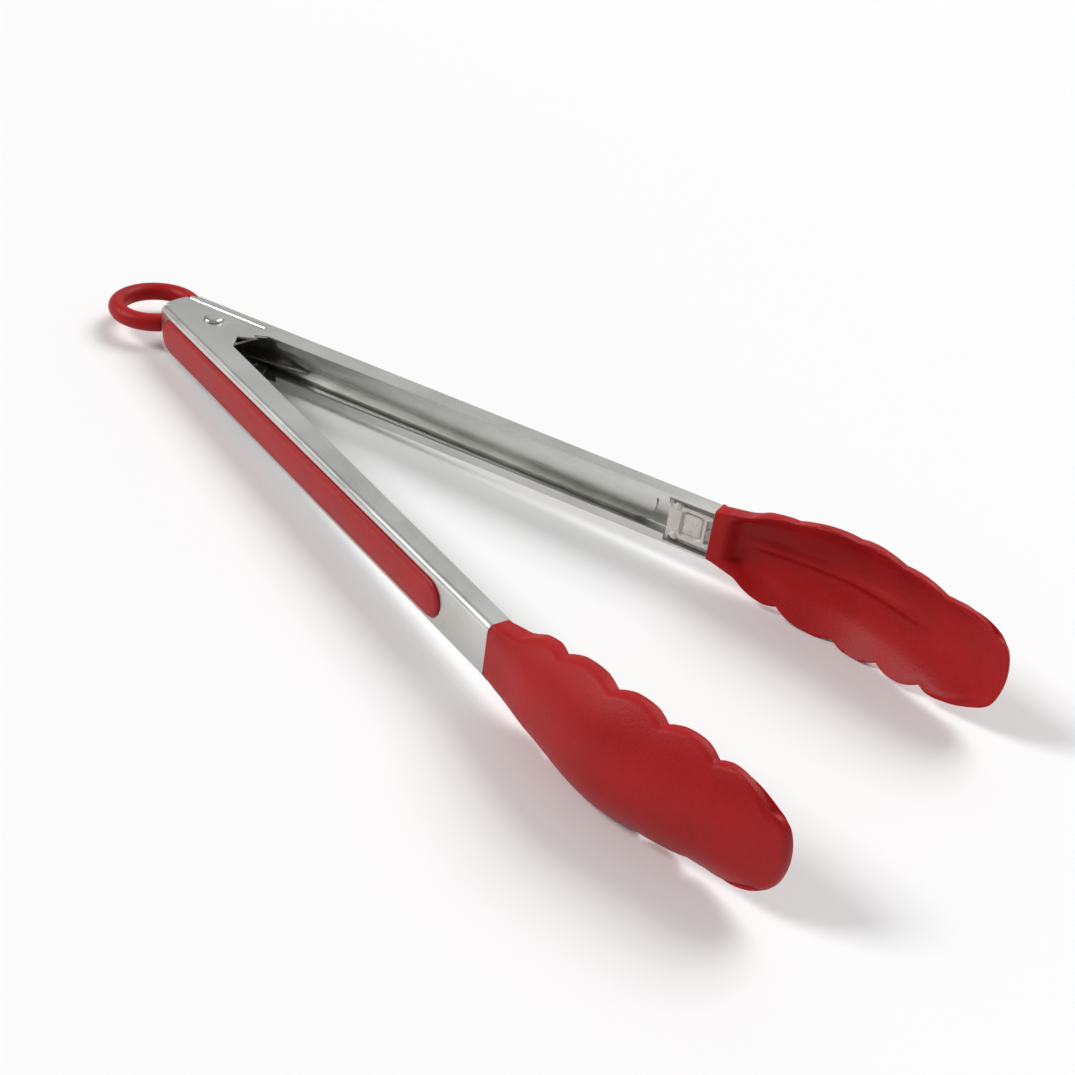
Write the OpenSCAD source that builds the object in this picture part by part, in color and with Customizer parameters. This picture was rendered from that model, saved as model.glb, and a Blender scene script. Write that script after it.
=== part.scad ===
// Spring loaded kitchen tongs: two sheet steel channel arms on one rivet, a torsion spring
// between them, silicone grips and scalloped heads, and a pull ring on a sliding lock yoke.
// Frame: origin at the centre of the hanging hole, +X towards the tips along the middle of
// the opening, +Z along the rivet. The arms are drawn open, resting on their stop.

/* [Arms] */
// Height of each channel, measured across the two flanges
arm_height = 17.2; // [14:0.1:22]
// Distance from the rivet axis to the outside of each web
web_offset = 12.2; // [11.5:0.1:16]
// Distance from the rivet to the end of the metal, along the arm
metal_length = 192; // [150:1:260]
// Thickness of the arm sheet
sheet_t = 0.8; // [0.6:0.05:1]
// Outside radius of the long bends
bend_r = 2.0; // [1.6:0.1:2.6]
// Flange width just ahead of the hinge
flange_hinge = 9.3; // [8:0.1:10]
// Flange width at the head end
flange_head = 6.8; // [6:0.1:8]
// Depth of the lip folded in along each flange
lip_depth = 3.0; // [2.4:0.1:3.4]
// Angle between each arm and the middle when the tongs are open, in degrees
half_open = 11.8; // [8:0.1:14]

/* [Hinge] */
// Radius of the rounded rear edge of the ears, about the rivet
ear_rear_r = 20.5; // [18:0.1:24]
// How far each ear reaches past the rivet
ear_reach = 5.8; // [5:0.1:6.4]
// Diameter of the rivet shank
rivet_d = 4.4; // [3:0.1:5]
// Diameter of the domed rivet heads
rivet_head_d = 7.2; // [6.6:0.1:9]
// Height of the domed rivet heads
rivet_head_h = 1.2; // [0.8:0.1:1.6]
// Radial clearance of everything that turns on the rivet
running_gap = 0.06; // [0.04:0.01:0.1]
// Gap between flat faces that slide past each other
face_gap = 0.1; // [0.05:0.01:0.12]
// Outside diameter of the washers between the ears and the yoke
washer_d = 9.0; // [8:0.1:10]

/* [Spring] */
// Diameter of the spring wire
wire_d = 1.5; // [1:0.1:1.6]
// Mean diameter of the spring coil
coil_d = 8.8; // [8.6:0.1:9.6]
// Number of whole turns in the coil
coil_turns = 4; // [3:1:4]
// Distance from the rivet to the point where each leg presses on its web
leg_reach = 34; // [26:1:50]

/* [Lock yoke and ring] */
// Thickness of the yoke sheet
yoke_t = 0.9; // [0.7:0.05:1]
// Distance from the rivet to the yoke's front edge
yoke_front = 14; // [12:0.5:16]
// Half width of the yoke's wings
yoke_wing = 8.4; // [6:0.1:8.4]
// Half width of the yoke's tail
yoke_tail = 4.8; // [4:0.1:5]
// How far the ring and yoke pull out
lock_travel = 8; // [6:0.5:9]
// Distance from the rivet to the centre of the hanging hole
ring_to_pivot = 34.6; // [34.2:0.1:40]
// Diameter of the hanging hole
ring_hole_d = 20.6; // [16:0.1:22]
// Thickness of the ring
ring_t = 6.4; // [5:0.1:7]
// Length of the straight wall at the waist of the hanging hole
hole_land = 2.0; // [1.5:0.1:3]

/* [Grip pads] */
// Height of the grip pads
pad_height = 12.4; // [10:0.1:12.8]
// Bare web left behind the rear end of each pad
pad_heel = 1.9; // [1.8:0.1:6]
// Bare web left between the front end of each pad and the head
pad_stop = 22; // [16:1:60]
// Depth of the seat pressed into the web for each pad
pad_seat = 0.7; // [0.5:0.05:0.8]
// How far each pad stands proud of the web
pad_proud = 1.7; // [0.6:0.05:2]

/* [Heads] */
// Length of each head beyond the metal
head_length = 95.5; // [78:0.5:115]
// Height of the waves along each rim
scallop_h = 1.8; // [0:0.1:2.6]
// Wall thickness in the middle of the head
head_wall = 2.4; // [2.2:0.1:3]
// Length of the thick collar at the base of the head
collar_length = 5; // [4:0.5:8]
// How far the insert's tang reaches back into the metal
tang_length = 15; // [12:0.5:20]
// Thickness of the insert's blade inside the head
blade_t = 0.8; // [0.6:0.1:1]
// How far the insert's blade stops short of the head's tip
blade_stop = 18; // [14:1:40]

/* [Hidden] */
$fn = 96;
// How far a cut runs past the face it opens
over = 1;
// Size of a block that clears everything on its side
far = 60;
// Overlap of shapes that are one piece
weld = 0.01;
// Clearance of parts that are pressed together
fit = 0.02;
half_h = arm_height / 2;
web_in = web_offset - sheet_t;
seat_in = web_in - pad_seat;
web_rear = -sqrt(pow(ear_rear_r, 2) - pow(web_offset, 2));
pad_rear = -web_rear - pad_heel;
pad_front = metal_length - pad_stop;
crotch_u = 21.5;
crotch_v = web_offset - flange_hinge;
// Corners of each ear's inner edge, from the crotch back to the rivet
ear_tip = [13.1, -3.0];
ear_nose = [5.2, 0.3 - ear_reach];
ear_lap = 3;
ear_sink = 0.05;
lip_start = crotch_u + 4;
lip_sink = 0.2;
rivet_r = rivet_d / 2;
hole_r = rivet_r + running_gap;
// Spring
coil_gap = 0.08;
leg_gap = 0.15;
coil_facets = 24;
wire_sides = 8;
wire_r = wire_d / 2;
coil_r = coil_d / 2;
coil_pitch = wire_d + coil_gap;
leg_v = seat_in - wire_r - leg_gap;
// Point where a leg presses on its web, for the arm on the +Y side
leg_tip = [leg_reach * cos(half_open) - leg_v * sin(half_open),
           leg_reach * sin(half_open) + leg_v * cos(half_open)];
leg_dist = norm(leg_tip);
// Angle round the coil at which a straight leg leaves it towards leg_tip
leave_angle = atan2(leg_tip[1], leg_tip[0]) + acos(coil_r / leg_dist);
coil_sweep = 360 * coil_turns + 2 * leave_angle;
coil_steps = coil_facets * coil_turns;
coil_height = coil_pitch * coil_sweep / 360;
// Levels of the stack on the rivet, from the outside in
outer_ear_in = half_h - sheet_t;
inner_ear_out = outer_ear_in - face_gap;
inner_ear_in = inner_ear_out - sheet_t;
washer_out = inner_ear_in - face_gap / 2;
// The washers are thinner where the coil needs the room
washer_most = 1.2;
coil_room = 0.25;
washer_t = min(washer_most, washer_out - face_gap - yoke_t - coil_height / 2 - wire_r - coil_room);
washer_in = washer_out - washer_t;
yoke_out = washer_in - face_gap;
yoke_in = yoke_out - yoke_t;
bush_half = yoke_in - face_gap;
bush_wall = 0.9;
// Area of the inner arm's ears that is pressed down, round the rivet and back to the rear edge
step_r = 17.9;
step_v = 8.4;
step_wall = 0.9;
ear_root = step_v + step_wall + 0.2;
// The inner ear's rear edge stays inside the outer one's by this much
inner_ear_back = 0.4;
// The rear cut stops this far behind the rivet
rear_clear = 5;
flange_root_v = 8.2;
ear_rear_v = 1.2;
// Lip notches at the head end
notch_u = metal_length - tang_length;
notch_lip = 1.3;
// Ring
ring_r = ring_t / 2;
land_step = 0.05;
ring_mean_r = ring_hole_d / 2 + ring_r + land_step;
ring_neck_r = 3.0;
tongue_t = 1.6;
tongue_w = 4.4;
tongue_l = 4.0;
tail_x = -15.0;
wing_rear = 1;
ring_facets = 48;
// Insert
tang_fit = 0.1;
core_skin = (head_wall - blade_t) / 2;
neck_out = 1.0;
neck_deep = 3.6;
neck_half = 6.0;
tang_lift = 0.5;
shoulder_lift = 0.4;
window_depth = 0.6;
window_start = 5.2;
window_length = 8.0;
window_half = 4.4;
nub_r = 1.6;
nub_start = 1.2;
nub_high = 0.4;
nub_root = 0.8;
blade_rows = 14;
blade_cols = 6;
// Half height of the blade as a share of the head's, and how it rounds off at its end
blade_share = 0.72;
blade_round = 0.94;
blade_power = 8;
// Scalloped head outline: [distance along the head, half height at the notches]
head_outline = [[0, 8.6], [12, 11.2], [25, 14.7], [44, 17], [59, 16.5], [73, 15], [89, 11.2]];
// [distance along the head, inward offset of the middle and of the rim, depth of the rim]
head_bend = [[0, 0, 0.9, 5.9], [12, -1.1, 2.2, 4.9], [25, -3.0, 3.7, 3.9], [44, -3.2, 4.4, 3.9],
             [59, 0.8, 8.1, 3.2], [73, 6.6, 12.3, 2.7], [89, 13.6, 15.4, 2.4], [95.5, 17.5, 17.5, 2.4]];
head_notches = [8, 25, 44, 59, 73, 89];
// The tables are drawn for a head of this length and a channel of this half height
table_length = 95.5;
table_half = 8.6;
// Below 1, the waves are fuller than a sine
wave_power = 0.8;
// Power of the curve across the head: square at the base, rounded from base_fade on
base_power = 6;
belly_power = 2;
base_fade = 25;
// Share of the half height in which the wall thickens to the rim
rim_zone = 0.45;
// Length over which the collar thins to the wall, in the middle and at the rim
collar_fade = 5;
collar_rim_fade = 14;
head_rows = 36;
tip_rows = 8;
head_cols = 12;

// ---- placing ----

// Puts a piece drawn along +X, with its outside towards +Y, on one of the two arms
module on_arm(side) {
  translate([ring_to_pivot, 0, 0])
    mirror([0, side < 0 ? 1 : 0, 0])
      rotate([0, 0, half_open])
        children();
}

module both_faces() {
  children();
  mirror([0, 0, 1]) children();
}

// ---- arms ----

// Long closed section of the bent sheet, in the plane across the arm
module channel_section(width, out_v, h, r, t) {
  difference() {
    union() {
      translate([out_v - width, -h]) square([width - r, 2 * h]);
      translate([out_v - 2 * r, -h + r]) square([2 * r, 2 * h - 2 * r]);
      for (z = [-h + r, h - r]) translate([out_v - r, z]) circle(r);
    }
    translate([out_v - width - over, -h + t]) square([width + over - r, 2 * h - 2 * t]);
    translate([out_v - r - weld, -h + r]) square([r - t + weld, 2 * h - 2 * r]);
    for (z = [-h + r, h - r]) translate([out_v - r, z]) circle(r - t);
  }
}

// Bar with half round ends, from one point to another along X
module stadium(x0, x1, half) {
  translate([x0 + half, -half]) square([x1 - x0 - 2 * half, 2 * half]);
  translate([x0 + half, 0]) circle(half);
  translate([x1 - half, 0]) circle(half);
}

// Straight run of channel with tapered flanges and its pressed grip seat
module channel_run() {
  difference() {
    union() {
      translate([web_rear, 0, 0]) rotate([90, 0, 90])
        linear_extrude(metal_length - web_rear)
          channel_section(flange_hinge, web_offset, half_h, bend_r, sheet_t);
      translate([0, web_in + weld, 0]) rotate([90, 0, 0])
        linear_extrude(pad_seat + weld)
          stadium(-pad_rear - sheet_t, pad_front + sheet_t, half_h - bend_r);
    }
    // pressed seat that the grip pad sits in
    translate([0, web_offset + over, 0]) rotate([90, 0, 0])
      linear_extrude(pad_seat + over)
        stadium(-pad_rear, pad_front, pad_height / 2);
    // flanges narrow towards the head
    translate([0, 0, -half_h - over]) linear_extrude(arm_height + 2 * over)
      polygon([[crotch_u, crotch_v], [metal_length + over, web_offset - flange_head],
               [metal_length + over, 0], [crotch_u, 0]]);
    // behind the crotch the ears take over from the flanges
    translate([-far, 0, -half_h - over])
      cube([far + crotch_u, flange_root_v, arm_height + 2 * over]);
    rear_cut();
  }
}

// Everything behind the rounded rear edge
module rear_cut() {
  difference() {
    translate([-far, -far / 2, -half_h - over])
      cube([far - rear_clear, far, arm_height + 2 * over]);
    translate([0, 0, -half_h - 2 * over]) cylinder(r = ear_rear_r, h = arm_height + 4 * over);
  }
}

// Folded lip along one flange, cut back where the insert snaps in
module lip() {
  slope = (flange_hinge - flange_head) / (metal_length - crotch_u);
  function edge(u) = crotch_v + slope * (u - crotch_u);
  translate([0, 0, half_h - lip_depth]) linear_extrude(lip_depth - lip_sink)
    polygon([[lip_start, edge(lip_start)], [notch_u, edge(notch_u)],
             [notch_u, edge(notch_u) + sheet_t], [lip_start, edge(lip_start) + sheet_t]]);
  translate([0, 0, half_h - notch_lip]) linear_extrude(notch_lip - lip_sink)
    polygon([[notch_u - over, edge(notch_u - over)], [metal_length, edge(metal_length)],
             [metal_length, edge(metal_length) + sheet_t],
             [notch_u - over, edge(notch_u - over) + sheet_t]]);
}

// Plan of an ear: rounded at the rear, reaching past the rivet, cut off at the crotch
module ear_plan(rear_r) {
  intersection() {
    polygon([[crotch_u + ear_lap, ear_root], [crotch_u + ear_lap, crotch_v + ear_sink],
             [crotch_u, crotch_v], ear_tip, ear_nose, [-rivet_r, -ear_reach],
             [-ear_rear_r - over, ear_rear_v], [-ear_rear_r - over, ear_root]]);
    union() {
      circle(rear_r);
      translate([0, -far / 2]) square([far, far]);
    }
  }
}

module rivet_hole() {
  translate([0, 0, -half_h - over]) cylinder(r = hole_r, h = arm_height + 2 * over);
}

module outer_arm() {
  color("silver") on_arm(-1) difference() {
    union() {
      channel_run();
      both_faces() lip();
      both_faces() translate([0, 0, outer_ear_in]) linear_extrude(sheet_t) ear_plan(ear_rear_r);
    }
    rivet_hole();
  }
}

// Where the inner arm's ear is pressed down to run under the outer ear
module step_plan(grow) {
  intersection() {
    union() {
      circle(step_r + grow);
      translate([-far, -far]) square([far, 2 * far]);
    }
    translate([-far, -far]) square([2 * far, far + step_v + grow]);
  }
}

module inner_arm() {
  color("silver") on_arm(1) difference() {
    union() {
      channel_run();
      both_faces() lip();
      both_faces() {
        // full height part of the ear, outside the pressed area
        translate([0, 0, outer_ear_in]) linear_extrude(sheet_t) difference() {
          ear_plan(ear_rear_r);
          step_plan(0);
        }
        // pressed part that runs under the outer ear
        translate([0, 0, inner_ear_in]) linear_extrude(sheet_t) intersection() {
          ear_plan(ear_rear_r - inner_ear_back);
          step_plan(step_wall);
        }
        // wall that joins the two levels
        translate([0, 0, inner_ear_in]) linear_extrude(half_h - inner_ear_in) intersection() {
          ear_plan(ear_rear_r - inner_ear_back);
          difference() {
            step_plan(step_wall);
            step_plan(0);
          }
        }
      }
    }
    rivet_hole();
    // room for the outer ear to swing over the flange
    both_faces() translate([0, 0, inner_ear_out]) linear_extrude(sheet_t + over) step_plan(0);
  }
}

// ---- grip pads ----

module grip_pad(side) {
  color("firebrick") on_arm(side)
    translate([0, web_offset + pad_proud, 0]) rotate([90, 0, 0])
      linear_extrude(pad_proud + pad_seat)
        stadium(-pad_rear, pad_front, pad_height / 2);
}

// ---- heads ----

function lerp(a, b, t) = a + (b - a) * t;
function smooth(t) = t * t * (3 - 2 * t);
function clamp(t, lo, hi) = max(lo, min(hi, t));

// Value of column c of a table at x, on a smooth curve through its rows
function row_at(table, x, i = 0) =
  (i >= len(table) - 2 || x < table[i + 1][0]) ? i : row_at(table, x, i + 1);
function slope_at(table, i, c) =
  i == 0 ? (table[1][c] - table[0][c]) / (table[1][0] - table[0][0])
  : i == len(table) - 1 ? (table[i][c] - table[i - 1][c]) / (table[i][0] - table[i - 1][0])
  : (table[i + 1][c] - table[i - 1][c]) / (table[i + 1][0] - table[i - 1][0]);
function curve(table, x, c) =
  let (i = row_at(table, x), w = table[i + 1][0] - table[i][0], t = (x - table[i][0]) / w)
  (2 * t * t * t - 3 * t * t + 1) * table[i][c] + (t * t * t - 2 * t * t + t) * w * slope_at(table, i, c)
  + (3 * t * t - 2 * t * t * t) * table[i + 1][c] + (t * t * t - t * t) * w * slope_at(table, i + 1, c);

function along(u) = u * table_length / head_length;
// Share of a wave's full height; the first one rises gently out of the collar
function wave(x, i = 0) =
  i >= len(head_notches) - 1 || x < head_notches[0] ? 0
  : x < head_notches[i + 1]
    ? let (t = (x - head_notches[i]) / (head_notches[i + 1] - head_notches[i]))
      sin(180 * t) * (i == 0 ? smooth(min(1, 2 * t)) : 1)
  : wave(x, i + 1);
tip_start = head_notches[len(head_notches) - 1];
function plain_half(x) = curve(head_outline, x, 1) * half_h / table_half;
function half_height(x) =
  x <= tip_start ? plain_half(x) + scallop_h * pow(max(0, wave(x)), wave_power)
  : plain_half(tip_start) * sqrt(max(0, 1 - pow((x - tip_start) / (table_length - tip_start), 2)));
function middle_in(x) = curve(head_bend, x, 1);
function rim_in(x) = curve(head_bend, x, 2);
// Inward offset of the outer face, q running from -1 to 1 across the head
function face_in(x, q) =
  middle_in(x) + (rim_in(x) - middle_in(x))
    * pow(abs(q), lerp(base_power, belly_power, smooth(clamp(x / base_fade, 0, 1))));
// Thickness of the wall, which fills out to a collar at the base and thickens to the rim
function rim_share(q) = smooth(clamp((abs(q) - 1 + rim_zone) / rim_zone, 0, 1));
function wall_at(x, q) =
  lerp(flange_head - face_in(0, q),
       lerp(head_wall, curve(head_bend, x, 3), rim_share(q)),
       smooth(clamp((x - collar_length) / lerp(collar_fade, collar_rim_fade, rim_share(q)), 0, 1)));

head_stations = concat(
  [for (i = [0 : head_rows]) tip_start * i / head_rows],
  [for (i = [1 : tip_rows]) tip_start + (table_length - tip_start) * sin(89 * i / tip_rows)]);

// Closed skin between two grids of points that share rows and columns
module two_sided(front, back, rows, cols) {
  n = (rows + 1) * (cols + 1);
  function id(i, j) = i * (cols + 1) + j;
  polyhedron(
    points = concat(front, back),
    faces = concat(
      [for (i = [0 : rows - 1], j = [0 : cols - 1]) [id(i, j), id(i + 1, j + 1), id(i, j + 1)]],
      [for (i = [0 : rows - 1], j = [0 : cols - 1]) [id(i, j), id(i + 1, j), id(i + 1, j + 1)]],
      [for (i = [0 : rows - 1], j = [0 : cols - 1]) [n + id(i, j), n + id(i, j + 1), n + id(i + 1, j + 1)]],
      [for (i = [0 : rows - 1], j = [0 : cols - 1]) [n + id(i, j), n + id(i + 1, j + 1), n + id(i + 1, j)]],
      [for (i = [0 : rows - 1]) [id(i, 0), n + id(i + 1, 0), id(i + 1, 0)]],
      [for (i = [0 : rows - 1]) [id(i, 0), n + id(i, 0), n + id(i + 1, 0)]],
      [for (i = [0 : rows - 1]) [id(i, cols), id(i + 1, cols), n + id(i + 1, cols)]],
      [for (i = [0 : rows - 1]) [id(i, cols), n + id(i + 1, cols), n + id(i, cols)]],
      [for (j = [0 : cols - 1]) [id(0, j), n + id(0, j + 1), n + id(0, j)]],
      [for (j = [0 : cols - 1]) [id(0, j), id(0, j + 1), n + id(0, j + 1)]],
      [for (j = [0 : cols - 1]) [id(rows, j), n + id(rows, j), n + id(rows, j + 1)]],
      [for (j = [0 : cols - 1]) [id(rows, j), n + id(rows, j + 1), id(rows, j + 1)]]));
}

function head_point(x, q, depth) =
  [metal_length + x * head_length / table_length, web_offset - face_in(x, q) - depth, q * half_height(x)];

module head_body() {
  rows = len(head_stations) - 1;
  q = [for (j = [0 : head_cols]) sin(90 * (2 * j / head_cols - 1))];
  two_sided(
    [for (x = head_stations, qq = q) head_point(x, qq, 0)],
    [for (x = head_stations, qq = q) head_point(x, qq, wall_at(x, qq))],
    rows, head_cols);
}

// Stiff blade buried in the middle of the head's wall
module head_blade() {
  rows = blade_rows;
  cols = blade_cols;
  last = along(head_length - blade_stop);
  span = [for (i = [0 : rows]) lerp(over, last, i / rows)];
  function reach(x) =
    blade_share * plain_half(x) * sqrt(1 - pow(x / last * blade_round, blade_power));
  function at(x, j, depth) =
    let (z = reach(x) * (2 * j / cols - 1), q = z / half_height(x))
    [metal_length + x * head_length / table_length, web_offset - face_in(x, q) - depth, z];
  two_sided(
    [for (x = span, j = [0 : cols]) at(x, j, core_skin)],
    [for (x = span, j = [0 : cols]) at(x, j, core_skin + blade_t)],
    rows, cols);
}

// Square neck that joins the tang to the blade through the collar of the head
module neck(back) {
  translate([metal_length - back, web_offset - neck_out - neck_deep, -neck_half])
    cube([collar_length - over + back, neck_deep, 2 * neck_half]);
}

// Tang that fills the end of the channel, with a nub for each lip notch
module head_tang() {
  tang_out = web_in - tang_fit;
  tang_face = web_offset - flange_head + tang_lift;
  tang_half = half_h - sheet_t - tang_fit;
  shoulder_half = half_h - notch_lip - tang_fit;
  shoulder = web_offset - flange_head + sheet_t + shoulder_lift;
  difference() {
    union() {
      translate([notch_u + tang_fit, shoulder, -tang_half])
        cube([tang_length - tang_fit, tang_out - bend_r + sheet_t - shoulder, 2 * tang_half]);
      translate([notch_u + tang_fit, shoulder, -half_h + bend_r])
        cube([tang_length - tang_fit, tang_out - shoulder, arm_height - 2 * bend_r]);
      translate([notch_u + tang_fit, tang_face, -shoulder_half])
        cube([tang_length - tang_fit, shoulder - tang_face + weld, 2 * shoulder_half]);
      neck(tang_fit);
      for (side = [-1, 1])
        translate([notch_u + nub_r + nub_start, tang_face - nub_high, side * (shoulder_half - nub_r)])
          rotate([-90, 0, 0]) cylinder(r = nub_r, h = nub_high + nub_root);
    }
    // shallow moulded window
    translate([notch_u + window_start, tang_face - over, -window_half])
      cube([window_length, over + window_depth, 2 * window_half]);
  }
}

module head_insert(side) {
  color("gainsboro") on_arm(side) {
    head_tang();
    head_blade();
  }
}

module head_shell(side) {
  color("firebrick") on_arm(side) difference() {
    head_body();
    head_blade();
    neck(over);
  }
}

// ---- rivet stack ----

// Domed head standing on the plane z = 0
module rivet_dome() {
  dome_r = (pow(rivet_head_d / 2, 2) + pow(rivet_head_h, 2)) / (2 * rivet_head_h);
  intersection() {
    translate([0, 0, rivet_head_h - dome_r]) sphere(dome_r);
    cylinder(d = rivet_head_d, h = rivet_head_h + over);
  }
}

module pivot_rivet() {
  seat = half_h + face_gap / 2;
  color("gainsboro") translate([ring_to_pivot, 0, 0]) {
    translate([0, 0, -seat - weld]) cylinder(r = rivet_r, h = 2 * (seat + weld));
    both_faces() translate([0, 0, seat]) rivet_dome();
  }
}

module washer(low) {
  translate([ring_to_pivot, 0, low]) difference() {
    cylinder(d = washer_d, h = washer_t);
    translate([0, 0, -over]) cylinder(r = rivet_r + fit, h = washer_t + 2 * over);
  }
}

module upper_washer() { color("whitesmoke") washer(washer_in); }

module lower_washer() { color("whitesmoke") washer(-washer_out); }

module spring_bush() {
  color("whitesmoke") translate([ring_to_pivot, 0, -bush_half]) difference() {
    cylinder(r = rivet_r + fit + bush_wall, h = 2 * bush_half);
    translate([0, 0, -over]) cylinder(r = rivet_r + fit, h = 2 * (bush_half + over));
  }
}

// ---- torsion spring ----

function coil_point(a, z) = [coil_r * cos(a), coil_r * sin(a), z];
spring_path = concat(
  [[leg_tip[0], -leg_tip[1], coil_height / 2]],
  [for (i = [0 : coil_steps])
    coil_point(-leave_angle - coil_sweep * i / coil_steps, coil_height / 2 - coil_height * i / coil_steps)],
  [[leg_tip[0], leg_tip[1], -coil_height / 2]]);

// Tube of small radius swept along a list of points
module wire(path, r, sides) {
  last = len(path) - 1;
  function unit(v) = v / norm(v);
  function along_path(i) = unit(path[min(i + 1, last)] - path[max(i - 1, 0)]);
  function across(i) = unit(cross(along_path(i), [0, 0, 1]));
  function up(i) = cross(across(i), along_path(i));
  polyhedron(
    points = [for (i = [0 : last], k = [0 : sides - 1])
      path[i] + r * (cos(360 * k / sides) * across(i) + sin(360 * k / sides) * up(i))],
    faces = concat(
      [[for (k = [sides - 1 : -1 : 0]) k]],
      [for (i = [0 : last - 1], k = [0 : sides - 1])
        [i * sides + k, (i + 1) * sides + (k + 1) % sides, (i + 1) * sides + k]],
      [for (i = [0 : last - 1], k = [0 : sides - 1])
        [i * sides + k, i * sides + (k + 1) % sides, (i + 1) * sides + (k + 1) % sides]],
      [[for (k = [0 : sides - 1]) last * sides + k]]));
}

module torsion_spring() {
  color("dimgray") translate([ring_to_pivot, 0, 0]) wire(spring_path, wire_r, wire_sides);
}

// ---- lock ----

module yoke_leaf_plan() {
  difference() {
    union() {
      translate([tail_x, -yoke_tail]) square([yoke_front - tail_x, 2 * yoke_tail]);
      translate([-wing_rear, -yoke_wing]) square([yoke_front + wing_rear, 2 * yoke_wing]);
    }
    // slot that slides along the rivet
    translate([0, -hole_r - fit]) square([lock_travel, 2 * (hole_r + fit)]);
    circle(hole_r + fit);
    translate([lock_travel, 0]) circle(hole_r + fit);
  }
}

module lock_yoke() {
  color("silver") translate([ring_to_pivot, 0, 0]) {
    both_faces() translate([0, 0, yoke_in]) linear_extrude(yoke_t) yoke_leaf_plan();
    translate([tail_x - yoke_t, -yoke_tail, -yoke_out]) cube([yoke_t + weld, 2 * yoke_tail, 2 * yoke_out]);
    translate([tail_x - yoke_t - tongue_l, -tongue_w / 2, -tongue_t / 2])
      cube([tongue_l + weld, tongue_w, tongue_t]);
  }
}

module pull_ring() {
  neck_end = ring_to_pivot + tail_x - yoke_t - fit;
  color("firebrick") difference() {
    union() {
      rotate_extrude() translate([ring_mean_r, 0]) circle(ring_r, $fn = ring_facets);
      translate([0, 0, -hole_land / 2]) difference() {
        cylinder(r = ring_mean_r, h = hole_land);
        translate([0, 0, -over]) cylinder(d = ring_hole_d, h = hole_land + 2 * over);
      }
      translate([ring_mean_r, 0, 0]) rotate([0, 90, 0]) cylinder(r = ring_neck_r, h = neck_end - ring_mean_r);
    }
    translate([neck_end - tongue_l - 2 * fit, -tongue_w / 2 - fit, -tongue_t / 2 - fit])
      cube([tongue_l + over, tongue_w + 2 * fit, tongue_t + 2 * fit]);
  }
}

outer_arm();
inner_arm();
grip_pad(-1);  // outer_grip_pad
grip_pad(1);  // inner_grip_pad
head_insert(-1);  // outer_head_insert
head_insert(1);  // inner_head_insert
head_shell(-1);  // outer_head_shell
head_shell(1);  // inner_head_shell
pivot_rivet();
upper_washer();
lower_washer();
spring_bush();
torsion_spring();
lock_yoke();
pull_ring();
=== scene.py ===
# %% [markdown]
# # Spring loaded kitchen tongs
# Two sheet steel arms turn on one rivet and a torsion spring holds them open. Red silicone
# covers the grips, the scalloped heads and the pull ring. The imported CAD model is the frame:
# it says where every piece goes and which body it moves with. This lesson gives each piece
# its finished shape and finish, one step at a time, and changes no size.

# %% Load the frame
import math

import bpy
from mathutils import Matrix, Vector
from mathutils.kdtree import KDTree


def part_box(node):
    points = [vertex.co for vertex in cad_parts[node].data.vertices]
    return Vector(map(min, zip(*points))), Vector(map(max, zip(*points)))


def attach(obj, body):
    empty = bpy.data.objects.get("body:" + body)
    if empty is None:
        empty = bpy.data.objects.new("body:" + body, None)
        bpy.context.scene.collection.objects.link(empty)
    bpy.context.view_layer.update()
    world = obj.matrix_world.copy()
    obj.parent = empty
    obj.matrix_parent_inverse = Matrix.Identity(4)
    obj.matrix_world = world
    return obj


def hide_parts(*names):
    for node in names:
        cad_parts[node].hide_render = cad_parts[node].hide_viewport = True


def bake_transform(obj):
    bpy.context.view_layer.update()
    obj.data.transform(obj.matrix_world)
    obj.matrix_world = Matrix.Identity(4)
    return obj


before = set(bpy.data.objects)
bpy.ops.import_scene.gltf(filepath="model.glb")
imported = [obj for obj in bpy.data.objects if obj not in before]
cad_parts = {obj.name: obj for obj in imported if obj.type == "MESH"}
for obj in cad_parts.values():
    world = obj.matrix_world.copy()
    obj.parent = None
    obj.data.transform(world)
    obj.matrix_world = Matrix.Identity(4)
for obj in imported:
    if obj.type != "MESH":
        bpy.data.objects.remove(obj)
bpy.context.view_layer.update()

# %% [markdown]
# The arms are mirror images, each leaning away from the middle. It is easier to model a piece
# straight along +X, with its outside towards +Y, and to turn it onto its arm at the end.
# The CAD does the same, so the few sizes below are the ones that it is drawn with.

# %% Sizes and places
MM = 0.001
HALF_OPEN = math.radians(11.8)
WEB_OUT = 12.2 * MM
METAL_END = 192 * MM
SHEET = 0.8 * MM
SEAT_DEPTH = 0.7 * MM
FLANGE_END = 6.8 * MM
MERGE_GAP = 0.002 * MM
SIDES = {"outer": -1, "inner": 1}

rivet_low, rivet_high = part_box("pivot_rivet")
PIVOT = Vector(((rivet_low.x + rivet_high.x) / 2, 0, 0))
print("pivot at", tuple(round(c / MM, 2) for c in PIVOT), "mm")


def arm_matrix(side):
    """Turns a piece drawn along +X onto the outer arm (-1) or the inner arm (+1)."""
    mirror = Matrix.Diagonal((1, side, 1, 1))
    return Matrix.Translation(PIVOT) @ mirror @ Matrix.Rotation(HALF_OPEN, 4, "Z")


def put_on_arm(obj, side):
    """Moves the mesh itself, so that the object stays at the origin, unturned."""
    obj.data.transform(arm_matrix(side))
    if side < 0:
        obj.data.flip_normals()
    return obj


# %% [markdown]
# Operators act on whatever is selected, and loading the frame leaves its nodes selected.
# So each step starts by deselecting everything, and faces are picked by where they are.

# %% Small helpers for selecting and finishing
def only(obj):
    bpy.ops.object.select_all(action="DESELECT")
    obj.select_set(True)
    bpy.context.view_layer.objects.active = obj
    return obj


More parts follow.
